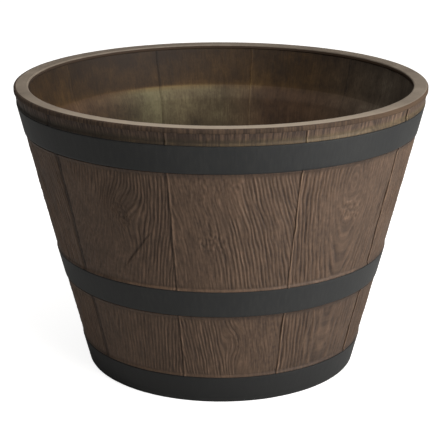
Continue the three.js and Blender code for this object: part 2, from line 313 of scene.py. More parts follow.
def loft(name, rings, joins_up, attributes, flat_columns=()):
    """A closed mesh through rings[ring][column] = (x, y, z). If it joins_up, its ends meet."""
    rings = np.asarray(rings, float)
    ring_count, column_count = rings.shape[:2]
    index = np.arange(ring_count * column_count).reshape(ring_count, column_count)
    after = np.roll(index, -1, axis=0)
    if not joins_up:
        index, after = index[:-1], after[:-1]
    quads = np.stack([index, after, np.roll(after, -1, axis=1), np.roll(index, -1, axis=1)], -1)
    points = rings.reshape(-1, 3)
    corners = points[quads.reshape(-1, 4)]
    fan = np.cross(corners[:, 1] - corners[:, 0], corners[:, 2] - corners[:, 0])
    inside_out = np.einsum("ij,ij->", corners[:, 0], fan) < 0
    if inside_out:
        quads = quads[..., ::-1]
    faces = quads.reshape(-1, 4).tolist()
    smooth = np.ones(quads.shape[:2], bool)
    smooth[:, list(flat_columns)] = False
    smooth = smooth.ravel().tolist()
    if not joins_up:
        first = list(range(column_count))
        last = [len(points) - column_count + j for j in first]
        faces += [first[::-1], last] if inside_out else [first, last[::-1]]
        smooth += [False, False]
    mesh = bpy.data.meshes.new(name)
    mesh.from_pydata(points.tolist(), [], faces)
    mesh.polygons.foreach_set("use_smooth", smooth)
    for label, (kind, values) in attributes.items():
        add_attribute(mesh, label, kind, values)
    mesh.update()
    piece = bpy.data.objects.new(name, mesh)
    bpy.context.scene.collection.objects.link(piece)
    return piece


# %% [markdown]
# ## Staves
# On the real planter each stave carries moulded wood grain: ridges about 4 mm apart that run up the
# stave, lean round a heart and part round a knot, with dark checks between them. First comes the plain
# stave, with rows set close together at the hoop shoulders and columns close together at the joints. Its
# attributes will say where each point is on the plank, how far the stain was rubbed off there together
# with the painted light and shade laid on it, and where a painted sheen lies inside.

# %% Rows and columns of a stave
ROW_STEP = 2.0 * MM
COLUMN_STEP = 0.75 * MM
INSIDE_COLUMN_STEP = 2.2 * MM
SHOULDER_REACH = 4.6 * MM  # past a hoop's edge, as far as its moulded shoulder goes
SHOULDER_ROWS = (-1.5, -0.4, 0.12, 0.28, 0.8, 1.3, 2.1, 3.0, 3.9, 4.6)  # mm past a hoop's edge
JOINT_COLUMNS = (0, 0.5, 1.0, 1.5, 2.1, 2.8, 3.6, 4.5)  # mm from a stave's edge
JOINT_WANDER = 0.9 * MM  # how far a joint line strays from straight
EDGE_FILL = 0.16 * MM / WALL_MIDDLE_RADIUS  # angle by which a dressed stave closes on its neighbour
STRIP_CALM = 0.55  # how much of the relief is held back on the strip under the rim
FLOOR_LOW, FLOOR_HIGH = (corner.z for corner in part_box("floor"))


def stave_rows():
    """Heights of a stave's level sections."""
    rows = list(np.arange(STAVE_FOOT + SAMPLE_STEP, STAVE_TOP, ROW_STEP)) + [STAVE_TOP - SAMPLE_STEP]
    for low, high in HOOP_SPANS.values():
        rows += [high + gap * MM for gap in SHOULDER_ROWS] + [low - gap * MM for gap in SHOULDER_ROWS]
    for edge in (FLOOR_LOW, FLOOR_HIGH):
        rows += [edge - 0.3 * MM, edge + 0.1 * MM, edge + 0.5 * MM]
    rows = np.unique(np.round(rows, 5))  # no two rows fall on the same hundredth of a millimetre
    return rows[(rows > STAVE_FOOT) & (rows < STAVE_TOP)]


def across_positions(width, step, edge_columns):
    """Distances across a stave, from its first edge to its last, closer together near both."""
    near = np.array(edge_columns) * MM
    count = round((width - 2 * near[-1]) / step)
    return np.concatenate([near[:-1], np.linspace(near[-1], width - near[-1], count),
                           width - near[-2::-1]])


def joint_wander(joint, heights):
    """Sideways stray of one joint line at each height. Both staves at a joint share it."""
    dice = np.random.default_rng(100 + joint)
    waves = [(0.25, 0.16), (0.35, 0.09), (0.25, 0.045), (0.15, 0.024)]  # share, wavelength in metres
    return JOINT_WANDER * sum(
        share * np.sin(math.tau * (heights / length + dice.random())) for share, length in waves)


def calm_amount(heights):
    """1 where a hoop or its shoulder keeps the wall smooth, falling to 0 past the shoulder."""
    calm = np.zeros_like(heights)
    for low, high in HOOP_SPANS.values():
        past = np.maximum(low - heights, heights - high)
        calm = np.maximum(calm, np.clip((SHOULDER_REACH + 2 * MM - past) / (3 * MM), 0, 1))
    return np.maximum(calm, np.where(heights > UPPER_HIGH, STRIP_CALM, 0))


print("rows on a stave:", len(stave_rows()))


# %% [markdown]
# ### Where the stain went, and painted light and shade
# Stain that is wiped off by hand stays in corners: under a hoop, on top of it and by a joint, and under a
# hoop the darkness is painted shade as well. Edges that stand proud are paler: the lips at the joints are
# rubbed pale, the shoulders in front carry a painted highlight with some rubbing, and the ledge inside a
# painted highlight. The strip under the rim is painted darker at the left and paler by the hoop at the
# right, the wall is painted darker low on the right, and the inside is painted paler or darker round the
# turn, all as painted light and shade. The inside is also darker just under the rim and paler below the
# ledge. These functions say how much paler or darker each place is than the grain alone would make it.

# %% Rubbed and stained places, and painted light and shade
HIGHLIGHT_AND_WEAR_SHARE = (0.45, 0.8, 0.6)  # how strong the painted highlight and wear on the shoulder above each hoop are, from the lowest hoop up
LIP_TONES = {"stave_01": -0.34, "stave_02": 0.03}  # how pale the raised lip at a stave's left is
INSIDE_JOINT_TONES = {5: -0.14, 6: 0.07, 7: -0.2, 8: 0.05}  # at the back: stained dark or rubbed pale
USUAL_LIP_TONE, USUAL_JOINT_TONE = 0.15, 0.05


def wander(angle, seed):
    """A slow random line round the planter, between about -1 and 1."""
    dice = np.random.default_rng(seed)
    return sum(0.3 * np.sin(turns * angle + math.tau * dice.random()) for turns in (5, 11, 23, 47))


def shoulder_shade_highlight_and_wear(heights, angle):
    """Outside: darker just under each hoop, painted shade with some stain, and a pale line on the
    shoulder above it, a painted highlight with some wear, strongest in front.
    """
    rub_and_painted_light = np.zeros_like(angle)
    for seed, (low, high) in enumerate(HOOP_SPANS.values()):
        below, above = low - heights, heights - high
        # painted shade with some stain: darker just under the hoop
        stain = np.interp(below, np.array([0, 0.1, 1.6, 5.0, 8.0]) * MM, [0, -0.18, -0.13, -0.05, 0])
        highlight_and_wear = np.interp(above, np.array([0, 0.1, 0.7, 2.8, 3.8, 5.0, 6.4, 8]) * MM,
                         [0, -0.1, 0.22, 0.22, 0, -0.1, -0.06, 0])
        dull = np.interp(above, np.array([0, 0.1, 2.0, 6.0]) * MM, [0, -0.18, -0.12, 0])
        # the painted highlight with some wear is strongest in front; elsewhere the shoulder is darkened
        # just above the hoop
        in_front = np.cos(angle + 0.1) * 1.7 - 0.8 + 0.45 * wander(angle, seed)
        share = np.clip(in_front, 0, 1) * HIGHLIGHT_AND_WEAR_SHARE[seed]
        rub_and_painted_light += stain + share * highlight_and_wear + (1 - share) * dull
    return rub_and_painted_light


def strip_painted_light_and_shade(heights, angle):
    """On the strip above the upper hoop: painted shade, darkest at the left just above the hoop, and
    painted light by the hoop at the right.
    """
    above = heights - UPPER_HIGH
    # painted shade, strongest at the left
    shade_at_left = (0.5 - 0.5 * np.sin(angle + 0.15)) ** 2
    depth = np.interp(above, np.array([0, 3, 9]) * MM, [1, 0.8, 0])
    # painted shade over the whole strip, less towards the right
    strip_shade = np.interp(np.sin(angle), [0.0, 0.5], [-0.17, -0.04])
    by_hoop = np.interp(above, np.array([0, 5, 10]) * MM, [0.15, 0.14, 0.0])
    # painted light by the hoop at the right
    light_at_right = by_hoop * np.interp(np.sin(angle), [-0.1, 0.4], [0, 1])
    return np.where(above > 0, strip_shade + light_at_right - 0.34 * shade_at_left * depth, 0)


def low_right_painted_shade(heights, angle):
    """Painted shade: low on its right side the wall is painted a little darker."""
    low = np.interp(heights, [0.11, 0.16], [1, 0])
    return -0.09 * low * np.interp(np.sin(angle), [0.1, 0.5], [0, 1])


def inside_shade_and_painted_light(heights, angle):
    """Inside: darker just under the rim and paler below the ledge, with a painted highlight on the
    ledge's edge at the back left and painted light and shade that change round the inside.
    """
    below = LEDGE_TOP - heights
    wall = np.interp(below, np.array([-56, -30, -8, 0, 40, 200]) * MM,
                     [-0.17, -0.07, 0.0, 0.15, 0.17, 0.16])
    # painted highlight on the ledge's edge
    ledge_highlight = np.interp(below, np.array([-3, 0, 5, 14, 50]) * MM, [0, 0.17, 0.17, 0.1, 0])
    across = np.sin(angle)
    ledge_highlight_share = np.interp(across, [-1, -0.7, -0.55, -0.42, -0.28, -0.18, 0, 0.2, 0.45, 1],
                           [0.3, 0.4, 1.5, 2.7, 2.6, 1.3, 0.8, 0.2, -0.2, -0.1])
    # painted light and shade below the ledge, changing round the inside
    low = np.interp(below, np.array([6, 16]) * MM, [0, 1])
    low_share = np.interp(across, [-1, -0.7, -0.5, -0.4, -0.27, -0.15, 0, 0.4, 0.7, 1],
                          [0, -0.14, 0.05, 0.09, 0.13, 0.0, 0.03, -0.1, -0.1, 0])
    # painted light and shade round the inside, palest at the far right
    side_light_and_shade = np.interp(across, [-1, -0.7, -0.35, -0.2, 0.3, 0.6, 0.85, 1],
                      [0, -0.1, -0.05, 0.01, -0.01, 0.02, 0.06, 0.26])
    return wall + ledge_highlight * ledge_highlight_share + low * low_share + side_light_and_shade


print("tone inside on the ledge, at the back:", round(float(inside_shade_and_painted_light(LEDGE_TOP, math.pi)), 3))


# %% [markdown]
# ### Plain staves
# A stave's level section runs along its outside and back along its inside. Each stave is cast a hair
# wider than its solid, so that no light shows through the joints, and both staves at a joint share
# its wandering line.

# %% Plain staves
def plain_stave(number, name):
    """One stave, lofted from its level sections, with its attributes."""
    start, end = (edge + push for edge, push in zip(SPANS[name], (-EDGE_FILL, EDGE_FILL)))
    width = (end - start) * WALL_MIDDLE_RADIUS
    heights = stave_rows()
    outer_radius = np.interp(heights, SAMPLE_HEIGHTS, OUTER_SAMPLES)
    inner_radius = np.interp(heights, SAMPLE_HEIGHTS, INNER_SAMPLES)
    outside = across_positions(width, COLUMN_STEP, JOINT_COLUMNS) / width
    inside = across_positions(width, INSIDE_COLUMN_STEP, JOINT_COLUMNS)[::-1] / width
    share = np.concatenate([outside, inside])
    is_outside = np.concatenate([np.ones(len(outside)), np.zeros(len(inside))])
    radius = np.where(is_outside, outer_radius[:, None], inner_radius[:, None])
    left, right = joint_wander(number, heights), joint_wander((number + 1) % len(STAVE_NAMES), heights)
    stray = left[:, None] * (1 - share) + right[:, None] * share
    angle = start + share * (end - start) + stray / WALL_MIDDLE_RADIUS
    up = np.broadcast_to(heights[:, None], angle.shape)
    rings = np.stack([radius * np.sin(angle), -radius * np.cos(angle), up], -1)
    across = (share - 0.5) * width * np.ones_like(up)
    plank = np.stack([across, up, np.full_like(up, number)], -1)
    from_left = share * width * np.ones_like(up)
    calm = calm_amount(heights)[:, None] * is_outside
    lip_tone = LIP_TONES.get(name, USUAL_LIP_TONE)
    lip_end = 3.0 if lip_tone < 0 else 1.6
    rubbed_lip = np.interp(share * width, np.array([0.2, 0.7, lip_end, 1.5 * lip_end]) * MM,
                           [0, lip_tone, lip_tone, 0])
    outside_rub_and_painted_light = shoulder_shade_highlight_and_wear(up, angle) + strip_painted_light_and_shade(up, angle) + low_right_painted_shade(up, angle) + rubbed_lip
    from_edges = (share * width, (1 - share) * width)
    joints = (number, (number + 1) % len(STAVE_NAMES))
    line_reach = np.array([0, 1.0, 2.2]) * MM
    inside_lines = sum(
        INSIDE_JOINT_TONES.get(joint, USUAL_JOINT_TONE) * np.interp(gap, line_reach, [1, 1, 0])
        for joint, gap in zip(joints, from_edges))
    rub_and_painted_light = np.where(is_outside, outside_rub_and_painted_light, inside_shade_and_painted_light(up, angle) + inside_lines)
    # a painted sheen inside, greenish and pale at the back left; it also marks where dents go
    bloom = np.interp(np.sin(angle), [-0.9, -0.7, -0.5, -0.4, -0.27, 0, 0.3],
                      [0, 0.2, 0.7, 0.65, 0.5, 0.5, 0])
    return loft(name + "_grained", rings, False, {
        "plank": ("FLOAT_VECTOR", plank),
        "from_left": ("FLOAT", from_left),
        "to_right": ("FLOAT", width - from_left),
        "outside": ("FLOAT", is_outside * np.ones_like(up)),
        "calm": ("FLOAT", calm),
        "rub_and_painted_light": ("FLOAT", rub_and_painted_light),
        "bloom": ("FLOAT", bloom),
    }, flat_columns=(len(outside) - 1, len(share) - 1))


staves = {name: plain_stave(number, name) for number, name in enumerate(STAVE_NAMES)}
print("points on a plain stave:", len(staves[STAVE_NAMES[0]].data.vertices))


# %% [markdown]
# ## Moulded grain with Geometry Nodes
# The grain follows a rule, so Geometry Nodes make it. A plank sawn from a log shows its growth rings
# as curves round a heart: the distance from the heart, stretched along the plank, gives them. Noise
# bends the rings, a knot pushes them aside, and a sine turns the distance into ridges. The tree
# pushes every point out or in by that relief and stores the relief for the colour to follow.

# %% Geometry tree helpers
NAMED = "GeometryNodeInputNamedAttribute"


def new_geometry_tree(name, inputs):
    """A geometry tree with its named inputs. Returns the tree and its input node."""
    tree = bpy.data.node_groups.new(name, "GeometryNodeTree")
    tree.interface.new_socket("Geometry", in_out="INPUT", socket_type="NodeSocketGeometry")
    for label, default in inputs.items():
        kind = "NodeSocketMaterial" if default is None else "NodeSocketFloat"
        socket = tree.interface.new_socket(label, in_out="INPUT", socket_type=kind)
        if default is not None:
            socket.default_value = default
    tree.interface.new_socket("Geometry", in_out="OUTPUT", socket_type="NodeSocketGeometry")
    return tree, tree.nodes.new("NodeGroupInput").outputs


def run_tree(piece, tree, values):
    """Run a geometry tree on a piece with these named inputs, and keep the result as a plain mesh."""
    modifier = piece.modifiers.new(tree.name, "NODES")
    modifier.node_group = tree
    for item in tree.interface.items_tree:
        if item.in_out == "INPUT" and item.name in values:
            modifier[item.identifier] = values[item.name]
    depsgraph = bpy.context.evaluated_depsgraph_get()
    result = bpy.data.meshes.new_from_object(
        piece.evaluated_get(depsgraph), preserve_all_data_layers=True, depsgraph=depsgraph)
    piece.modifiers.remove(modifier)
    plain, piece.data = piece.data, result
    bpy.data.meshes.remove(plain)


# %% What a stave can be given
GRAIN_INPUTS = {
    "Heart across": 0.0, "Heart height": 0.2, "Ring lean": 0.3, "Lean reach": 0.15,
    "Ring pitch": 4.3 * MM, "Ridge depth": 1.25 * MM, "Ridge bias": 0.0, "Low bias": 1.0, "Low lean": 0.0,
    "Knot across": 0.0, "Knot height": 0.1, "Knot size": 10 * MM,
    "Pit across": 0.0, "Pit height": 0.2, "Pit size": 0.0,
    "Crack across": 0.0, "Crack height": 0.2, "Crack lean": 0.0, "Crack length": 0.0,
    "Groove depth": 0.9 * MM, "Groove width": 3.4 * MM, "Lip height": 1.0 * MM, "Bead height": 0.35 * MM,
    "Material": None,
}
SEED_STEP = 3.7  # staves are numbered, and this sets their noises that far apart
tree, given = new_geometry_tree("moulded_grain", GRAIN_INPUTS)
plank = add(tree, NAMED, "plank", data_type="FLOAT_VECTOR")
from_left, to_right, outside, calm, bloom = (
    add(tree, NAMED, label, data_type="FLOAT")
    for label in ("from_left", "to_right", "outside", "calm", "bloom"))
across, along, number = add(tree, SEPARATE, plank).outputs
print("a stave can be given:", list(GRAIN_INPUTS))


# %% [markdown]
# ### Rings, leaning and bent
# Far above and below its heart a ring runs almost straight up the plank, and near the heart it leans
# over it, so the height above the heart goes through a tanh. One slow and one quick noise bend the
# rings. Below the middle hoop the figure may lean another way. A knot then pushes the rings aside.

# %% The ring field
LOW_WALL_TOP = 0.14  # the middle hoop's height
HEART_SIZE = 2 * MM  # keeps the innermost ring round
KNOT_HEIGHT_SHARE = 0.7  # a knot is this share as wide as it is high
KNOT_REACH = 2.6  # how far a knot pushes the rings aside, in knot sizes


def plank_noise(scale, offset, detail=2.0, line=None):
    """Noise on the plank, or on another line: its features per metre across and along it."""
    stretched = add(tree, "VECTOR_MULTIPLY_ADD", line or plank, (*scale, SEED_STEP), (offset, 0, 0))
    return add(tree, NOISE, stretched, 1.0, detail)


def distance_from(spot, height_share=1.0):
    """Distance on the plank from the given knot or pit, counting this share of the height."""
    sideways = add(tree, "SUBTRACT", across, given[spot + " across"])
    above = add(tree, "SUBTRACT", along, given[spot + " height"])
    counted = add(tree, "MULTIPLY", above, height_share)
    return add(tree, "VECTOR_LENGTH", add(tree, COMBINE, sideways, counted))


slow_bend = swing(tree, plank_noise((15, 5), 1), 12 * MM)
quick_bend = swing(tree, plank_noise((70, 17), 2), 4 * MM)
from_heart = add(tree, "SUBTRACT", across, given["Heart across"])
bent_across = add(tree, "ADD", from_heart, slow_bend, quick_bend)
how_low = add(tree, "MAXIMUM", add(tree, "SUBTRACT", LOW_WALL_TOP, along), 0.0)
ring_x = add(tree, "SUBTRACT", bent_across, add(tree, "MULTIPLY", how_low, given["Low lean"]))
above_heart = add(tree, "SUBTRACT", along, given["Heart height"])
bounded = add(tree, "TANH", add(tree, "DIVIDE", above_heart, given["Lean reach"]))
ring_y = add(tree, "MULTIPLY", bounded, given["Ring lean"], given["Lean reach"])
ring_distance = add(tree, "VECTOR_LENGTH", add(tree, COMBINE, ring_x, ring_y, HEART_SIZE))

round_knot = distance_from("Knot", KNOT_HEIGHT_SHARE)
knot_distance = add(tree, "MULTIPLY_ADD", quick_bend, 0.8, round_knot)
knot_reach = add(tree, "MULTIPLY", given["Knot size"], KNOT_REACH)
knot_push = add(tree, EASE, knot_distance, knot_reach, 0.0, 0.0, given["Knot size"])
pushed = add(tree, "ADD", ring_distance, knot_push)
grain_across = add(tree, MIX, outside, across, pushed)
grain_place = add(tree, COMBINE, grain_across, along, number)
print("nodes for the rings:", len(tree.nodes))


# %% [markdown]
# ### Ridges, fibres and checks
# A sine of the ring distance, raised to a power, gives ridges with rounded crests and narrow valleys.
# They fade in patches, on one side of a stave more than on the other, and near the rim. Lumps and
# fine fibres lie over them, and short checks are cut along the grain. The fibres of real oak are
# finer than the picture can show, so these are drawn coarser, about 1.7 mm apart.

# %% Ridges
KNOT_PITCH = 3.4 * MM
LOW_WALL = (0.12, 0.16)  # heights between which the figure changes, behind the middle hoop
RIDGE_MEAN = 0.62  # taken off, so that ridges rise and valleys sink about as much

ragged = add(tree, "MULTIPLY_ADD", plank_noise((150, 50), 4), 2.6 * MM, pushed)
grain_phase = add(tree, "DIVIDE", ragged, given["Ring pitch"])
knot_phase = add(tree, "DIVIDE", knot_distance, KNOT_PITCH)
in_knot = add(tree, EASE, knot_distance, given["Knot size"], 4 * MM)
phase = add(tree, MIX, in_knot, grain_phase, knot_phase)
wave = add(tree, "SINE", add(tree, "MULTIPLY", phase, math.tau))
ridge = add(tree, "POWER", add(tree, "MULTIPLY_ADD", wave, 0.5, 0.5), 0.6)
ridge_centred = add(tree, "SUBTRACT", ridge, RIDGE_MEAN)

bias_share = add(tree, EASE, along, *LOW_WALL, given["Low bias"])
bias = add(tree, "MULTIPLY", given["Ridge bias"], bias_share)
sided = add(tree, "MULTIPLY_ADD", across, bias, plank_noise((13, 8), 7, 3))
presence = add(tree, EASE, sided, 0.38, 0.56, 0.15)
broken = add(tree, EASE, plank_noise((170, 24), 8, 2, grain_place), 0.34, 0.52, 0.5)
low_share = add(tree, EASE, along, *LOW_WALL, 0.8)
high_share = add(tree, EASE, along, UPPER_HIGH, UPPER_LOW, 0.25)
ridges = add(tree, "MULTIPLY", ridge_centred, given["Ridge depth"], presence, broken, low_share,
             high_share)
print("nodes with the ridges:", len(tree.nodes))

# %% Lumps, fibres and checks
lumps = swing(tree, plank_noise((60, 45), 9, 3), 0.9 * MM)
all_fibres = swing(tree, plank_noise((600, 42), 11, 2, grain_place), 2.1 * MM)
fibres = add(tree, "MULTIPLY", all_fibres, add(tree, MAP, presence, 0.0, 1.0, 0.5))
checks = add(tree, EASE, plank_noise((260, 30), 13, 1, grain_place), 0.68, 0.78, 0.0, -0.6 * MM)
small_relief = add(tree, "ADD", lumps, fibres)
print("nodes with the small relief:", len(tree.nodes))


# %% [markdown]
# ### Rough spots and the crack
# Where a burl or a knot was, the cast is curdled instead of ridged, and so is one chosen spot on each
# stave in front. The crack is a slanting line with pointed ends, open a few millimetres at most.

# %% Curdled spots
ragged_edge = plank_noise((70, 70), 21)
pit_edge = add(tree, "MULTIPLY_ADD", ragged_edge, 16 * MM, distance_from("Pit"))
in_pit = add(tree, EASE, add(tree, "SUBTRACT", given["Pit size"], pit_edge), -6 * MM, 6 * MM)
curdle = swing(tree, plank_noise((330, 230), 23, 1), 3.4 * MM)
burl = add(tree, EASE, plank_noise((17, 22), 25, 3), 0.56, 0.64, 0.0, 0.6)
ridgeless = add(tree, "SUBTRACT", 1.1, presence)
calm_burl = add(tree, "MULTIPLY", burl, ridgeless)
rough_knot = add(tree, "MULTIPLY", in_knot, 0.7)
mottle = add(tree, "MULTIPLY", ridgeless, 0.3)
rough = add(tree, "MAXIMUM", in_pit, rough_knot, mottle, calm_burl)
curdled = add(tree, "MULTIPLY", curdle, rough)
print("nodes with the rough spots:", len(tree.nodes))

# %% The crack
CRACK_SHARPNESS = 0.1  # its half width for each length that is left to its end
CRACK_DEPTH = 1.3 * MM
from_crack_middle = add(tree, "SUBTRACT", along, given["Crack height"])
crack_line = add(tree, "MULTIPLY_ADD", from_crack_middle, given["Crack lean"], given["Crack across"])
crack_off = add(tree, "SUBTRACT", across, crack_line)
crack_away = add(tree, "ABSOLUTE", add(tree, "MULTIPLY_ADD", quick_bend, 0.9, crack_off))
crack_left = add(tree, "SUBTRACT", given["Crack length"], add(tree, "ABSOLUTE", from_crack_middle))
crack_width = add(tree, "MULTIPLY", crack_left, CRACK_SHARPNESS)
crack = add(tree, EASE, crack_away, crack_width, 0.0, 0.0, -CRACK_DEPTH)
crack_open = add(tree, "GREATER_THAN", crack_left, 0.0)
cracked = add(tree, "MULTIPLY", crack, crack_open)

sunk_knot = add(tree, "MULTIPLY_ADD", in_knot, -0.2 * MM, ridges)
wild_wood = add(tree, "ADD", sunk_knot, small_relief, checks, curdled, cracked)
outside_wood = add(tree, "MULTIPLY", wild_wood, add(tree, "MULTIPLY_ADD", calm, -0.88, 1.0))
print("nodes with the crack:", len(tree.nodes))


# %% [markdown]
# ### Stave edges, inside and out
# Outside, each joint is a groove at a stave's right edge beside the raised lip of the next stave. Both
# come and go. Inside, a thin bead stands at the joint, and the wall is soft and lightly dented.

# %% Groove, lip, bead and dents
LIP_CREST = 0.9 * MM  # from the joint
DENTS_PER_METRE = 80
edge_noise = plank_noise((6, 60), 17)
groove_share = add(tree, "MULTIPLY_ADD", edge_noise, 1.2, 0.4)
groove_width = add(tree, "MULTIPLY", given["Groove width"], groove_share)
groove = add(tree, EASE, to_right, groove_width, 0.0, 0.0, given["Groove depth"])
lip_height = add(tree, "MULTIPLY", given["Lip height"], add(tree, EASE, edge_noise, 0.3, 0.6, 0.3))
lip_width = add(tree, "MULTIPLY_ADD", plank_noise((6, 90), 19), 5.0 * MM, 0.2 * MM)
lip = add(tree, EASE, from_left, lip_width, LIP_CREST, 0.0, lip_height)
lip_edge = add(tree, EASE, from_left, LIP_CREST, 0.0, 0.0, lip_height)
lipped = add(tree, "ADD", outside_wood, lip)
outside_relief = add(tree, "SUBTRACT", lipped, lip_edge, groove)

from_joint = add(tree, "MINIMUM", from_left, to_right)
bead = add(tree, EASE, from_joint, 1.5 * MM, 0.3 * MM, 0.0, given["Bead height"])
dent_place = add(tree, "VECTOR_MULTIPLY", plank, (DENTS_PER_METRE, DENTS_PER_METRE, SEED_STEP))
dent_cells = add(tree, "ShaderNodeTexVoronoi", dent_place, 1.0).outputs
dent_shapes = add(tree, EASE, dent_cells["Distance"], 0.22, 0.05, 0.0, -1.2 * MM)
dent_draw = add(tree, SEPARATE, dent_cells["Color"])
dent_chosen = add(tree, "GREATER_THAN", dent_draw, 0.72)
dents_low = add(tree, EASE, along, LEDGE_TOP - 60 * MM, LEDGE_TOP - 26 * MM)
dents_high = add(tree, EASE, along, LEDGE_TOP - 6 * MM, LEDGE_TOP - 12 * MM)
dents = add(tree, "MULTIPLY", dent_shapes, dent_chosen, dents_low, dents_high, bloom)
soft_wood = add(tree, "MULTIPLY_ADD", small_relief, 0.5, bead)
inside_relief = add(tree, "ADD", soft_wood, dents)
print("nodes with the edges:", len(tree.nodes))

# %% Push the points and keep the relief
relief = add(tree, MIX, outside, inside_relief, outside_relief)
push = add(tree, "MULTIPLY", relief, add(tree, "MULTIPLY_ADD", outside, 2.0, -1.0))


def radial_direction(tree):
    """The level direction from the planter's axis to each point."""
    level = add(tree, "VECTOR_MULTIPLY", add(tree, "GeometryNodeInputPosition"), (1, 1, 0))
    return add(tree, "VECTOR_NORMALIZE", level)


def end_tree(tree, geometry, offset, material):
    """Move the points, make everything real geometry, and give it its material."""
    moved = add(tree, "GeometryNodeSetPosition", {"Geometry": geometry, "Offset": offset})
    real = add(tree, "GeometryNodeRealizeInstances", {"Geometry": moved})
    painted = add(tree, "GeometryNodeSetMaterial", {"Geometry": real, "Material": material})
    add(tree, "NodeGroupOutput", {"Geometry": painted})


offset = add(tree, "VECTOR_SCALE", radial_direction(tree), push)
stored = given["Geometry"]
for kind, label, value in (("FLOAT", "relief", relief), ("FLOAT_VECTOR", "grain", grain_place)):
    stored = add(tree, "GeometryNodeStoreNamedAttribute",
                 {"Geometry": stored, "Name": label, "Value": value}, data_type=kind, domain="POINT")
end_tree(tree, stored, offset, given["Material"])
grain_tree = tree
print("grain tree nodes:", len(grain_tree.nodes))


# %% [markdown]
# ## The staves' finish
# The real staves are rigid foamed resin, cast against weathered oak and stained: dark stain stays in the
# valleys of the grain, and the crests are rubbed back to a paler brown. So one number, the tone, follows
# the relief that the tree stored, with noise for uneven rubbing and fine fibres and the rub and painted
# light and shade that the plain stave stored, and a ramp turns it into stain. On the strip under the rim
# the stain stands in upright ticks that fade to a paler khaki by the hoop. Inside, the same stain is
# tinted: olive above the ledge, greenish and paler below it where a painted sheen lies at the back left,
# and grey at the far right, a painted cool light. Fibres and ticks are coarser than life here too, 1.4
# and 2.4 mm apart.

# %% Stave finish
FULL_TONE = 2.4 * MM  # relief of this height is rubbed palest, and of this depth is darkest


def fibre_noise(tree, across, along, offset, detail=3.0, line="grain"):
    """Noise that follows the stored grain or the plank: features per metre across and along it."""
    grain = add(tree, ATTRIBUTE, attribute_name=line).outputs["Vector"]
    placed = add(tree, "VECTOR_MULTIPLY_ADD", grain, (across, along, SEED_STEP), (offset, 0, 0))
    return add(tree, NOISE, placed, 1.0, detail)


def stained_tone(tree, relief, rub_and_painted_light, outside, place, on_strip, by_hoop):
    """How far the stain is rubbed off, with the painted light and shade added in: 0 in a dark valley, 1
    on the palest crest.
    """
    depth = add(tree, MAP, relief, -FULL_TONE, FULL_TONE)
    fibre = swing(tree, fibre_noise(tree, 700, 60, 3), 0.44)
    patch = swing(tree, fibre_noise(tree, 22, 9, 5), 0.2)
    speckle = swing(tree, fibre_noise(tree, 380, 260, 9), 0.24)
    fibres = add(tree, "MULTIPLY", fibre, add(tree, MAP, outside, 0.0, 1.0, 0.7))
    clouds = add(tree, NOISE, place, 34.0, 5.0, 0.6)
    blotches = add(tree, MIX, outside, swing(tree, clouds, 0.75), 0.0)
    tick = swing(tree, fibre_noise(tree, 420, 14, 15, 1, "plank"), 1.0)
    tick_left = add(tree, "MULTIPLY_ADD", by_hoop, -0.7, 1.0)
    ticks = add(tree, "MULTIPLY", tick, on_strip, tick_left)
    return add(tree, "ADD", depth, speckle, fibres, patch, rub_and_painted_light, ticks, blotches)


def stained_resin():
    """Foamed resin, cast in grain and stain-rubbed: matt, a little shinier on its rubbed crests."""
    material, tree = new_material("foamed_resin_cast_and_stain_rubbed")
    relief, rub_and_painted_light, outside, bloom = (
        add(tree, ATTRIBUTE, attribute_name=name).outputs["Fac"]
        for name in ("relief", "rub_and_painted_light", "outside", "bloom"))
    place = add(tree, COORDINATES).outputs["Object"]
    rightwards, _, height = add(tree, SEPARATE, place).outputs
    on_strip = add(tree, "MULTIPLY", add(tree, "GREATER_THAN", height, UPPER_HIGH), outside)
    by_hoop = add(tree, EASE, height, UPPER_HIGH + 10 * MM, UPPER_HIGH + 5 * MM)
    tone = stained_tone(tree, relief, rub_and_painted_light, outside, place, on_strip, by_hoop)
    stain = add(tree, RAMP, tone,
                stops=((0.0, "#20150e"), (1.0, "#8b735c"), (0.3, "#35261b"), (0.5, "#4c392a"),
                       (0.72, "#654e3c")))
    above_ledge = add(tree, MAP, height, LEDGE_TOP - 6 * MM, LEDGE_TOP + 3 * MM)
    # painted sheen: paler and greenish where it lies below the ledge
    tint_with_painted_sheen = add(tree, MIX_COLOUR, bloom, linear("#dacfbc"), linear("#cff8de"))
    tint = add(tree, MIX_COLOUR, above_ledge, tint_with_painted_sheen, linear("#d4c78a"))
    # painted cool light: the right inside tinted grey-blue
    cool_light_at_right = add(tree, EASE, rightwards, 0.10, 0.23)
    tint_with_cool_light = add(tree, MIX_COLOUR, cool_light_at_right, tint, linear("#d8f0ff"))
    olive = add(tree, TINT, 1.0, stain, tint_with_cool_light)
    khaki = add(tree, TINT, add(tree, "MULTIPLY", on_strip, by_hoop), stain, linear("#f2ffe4"))
    colour = add(tree, MIX_COLOUR, outside, olive, khaki)
    matt = add(tree, MAP, tone, 0.0, 1.0, 0.8, 0.55)
    roughness = add(tree, MIX, outside, 0.72, matt)
    surface(tree, colour, roughness, 1.45, fibre_noise(tree, 1500, 130, 8, 2), 0.5, 0.35 * MM)
    return material


STAVE_FINISH = stained_resin()
print("stave finish:", len(STAVE_FINISH.node_tree.nodes), "nodes")


# %% [markdown]
# ## Cast the grain
# The three staves in front are given their figure one by one, where the photograph shows it: stave_01 has
# a knot and the crack, stave_02 leaning ridges and a low knot, stave_03 a heart with a curdled spot.
# The others draw theirs from a fixed seed. stave_10 ends in the deepest joint.

